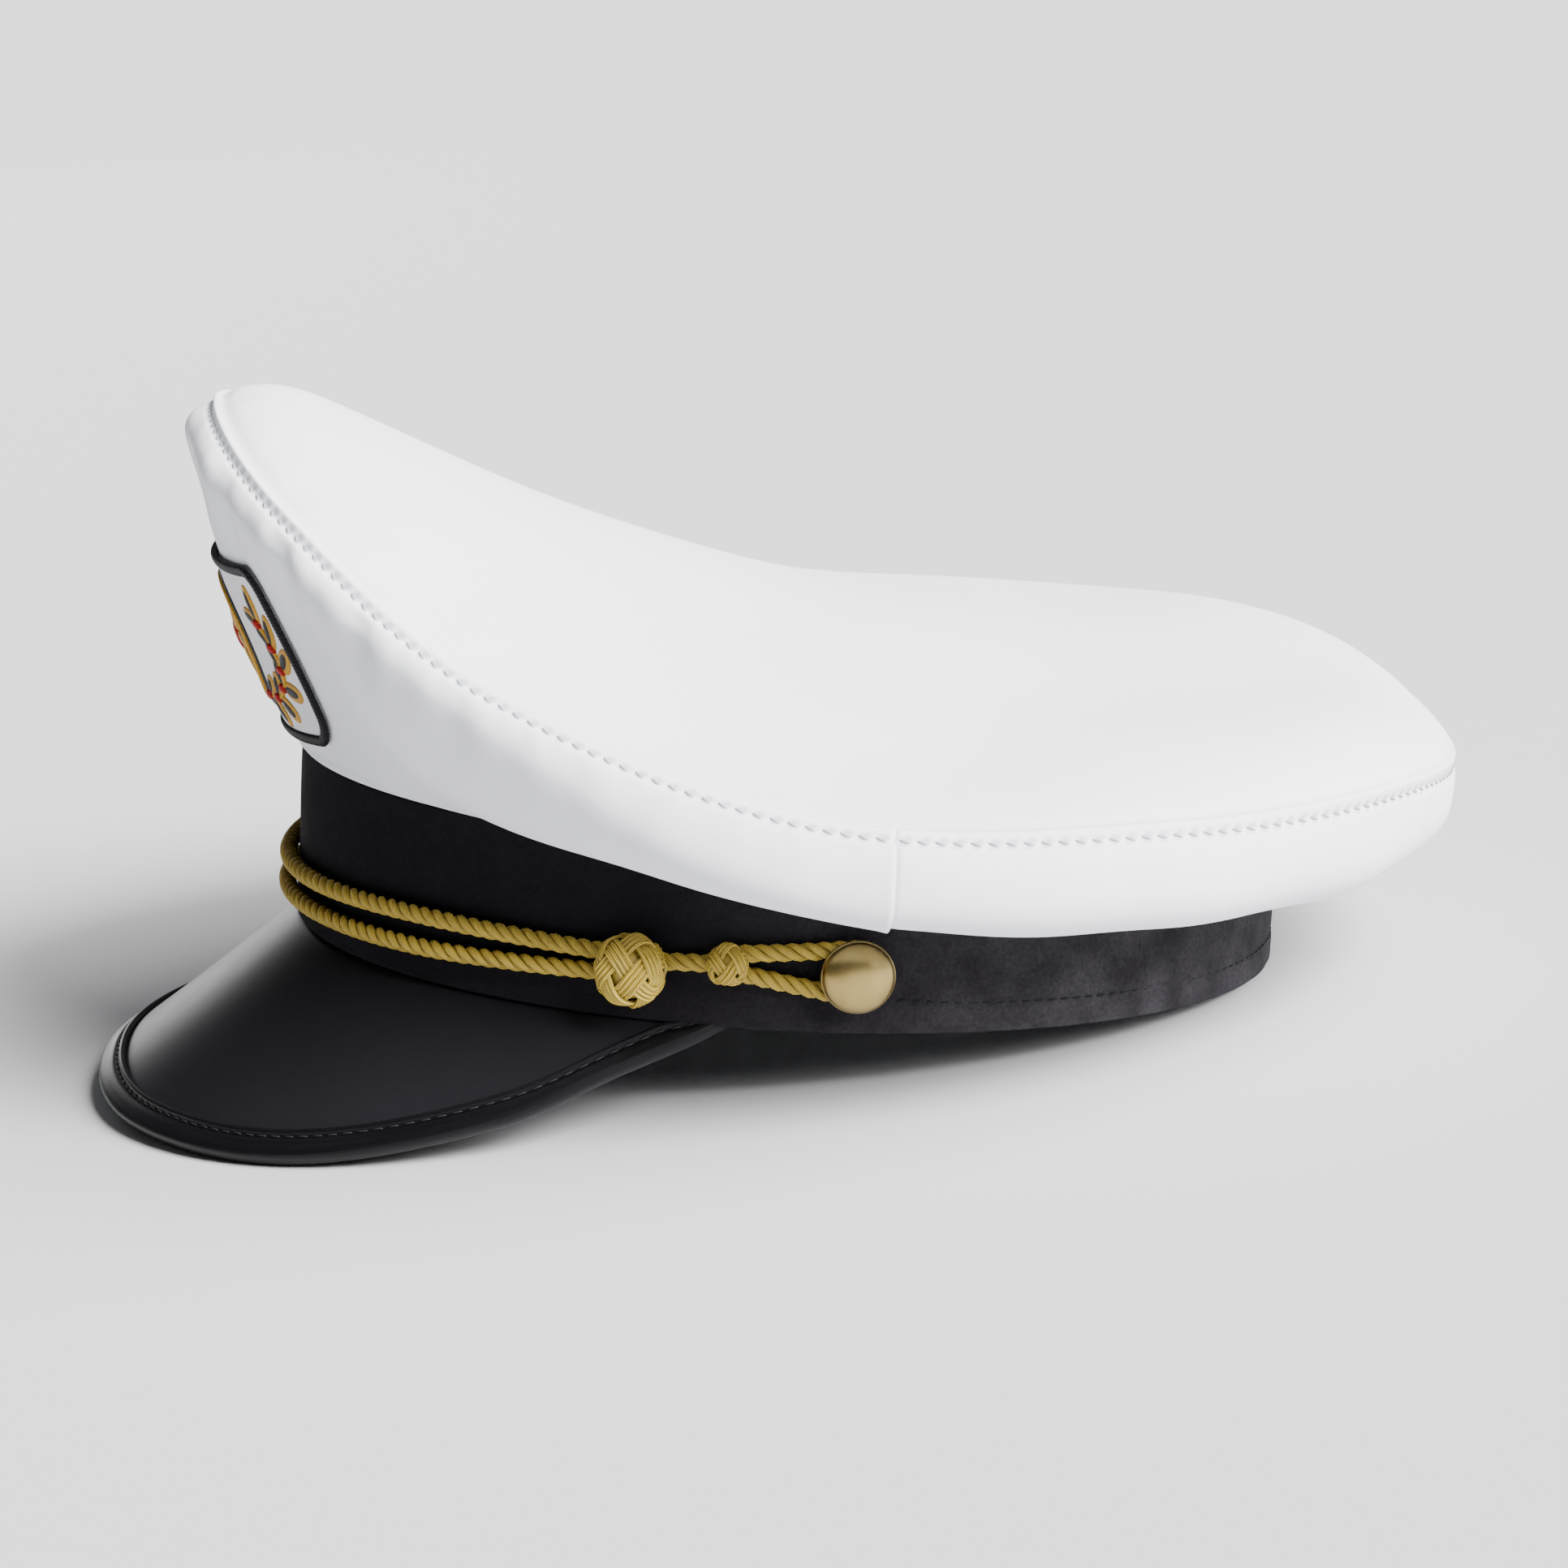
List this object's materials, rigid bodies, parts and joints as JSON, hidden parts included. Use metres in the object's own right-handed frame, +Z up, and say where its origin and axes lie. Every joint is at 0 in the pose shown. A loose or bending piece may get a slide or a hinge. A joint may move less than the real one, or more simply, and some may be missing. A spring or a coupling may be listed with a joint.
{
  "type": "fatigue cap",
  "caption": "White-topped peaked cap with a high front, black cloth band, glossy bound peak, doubled gold cord with knots, domed side buttons and a sewn front badge.",
  "frame": {"origin": "centre of the bounding box on the surface that the cap rests on, peak edge and back of the band down", "axes": "+Z up from the surface it rests on, -Y towards the peak, +X to the wearer's left"},
  "size_m": [0.2446, 0.2882, 0.1428],
  "materials": {
    "crown_cloth": "smooth close-woven white cloth, faintly sheened",
    "band_cloth": "fine matte black cloth",
    "peak_vinyl": "polished black vinyl",
    "binding_vinyl": "satin black vinyl strip, stitched",
    "gold_cord": "twisted gold rayon cord, silky",
    "button_brass": "satin, lightly aged",
    "badge_white": "white twill",
    "badge_black": "black satin stitch",
    "badge_gold": "gold satin stitch"
  },
  "bodies": {
    "root": {"band": "band_cloth", "crown_front": "crown_cloth", "crown_back": "crown_cloth", "crown_top": "crown_cloth", "peak": "peak_vinyl", "peak_binding": "binding_vinyl", "cord_upper": "gold_cord", "cord_lower": "gold_cord", "knot_big_left": "gold_cord", "knot_big_right": "gold_cord", "cord_link_left": "gold_cord", "cord_link_right": "gold_cord", "knot_small_left": "gold_cord", "knot_small_right": "gold_cord", "cord_loop_left": "gold_cord", "cord_loop_right": "gold_cord", "button_left": "button_brass", "button_right": "button_brass", "badge_ground": "badge_white", "badge_border": "badge_black", "badge_star": "badge_gold"}
  },
  "joints": []
}
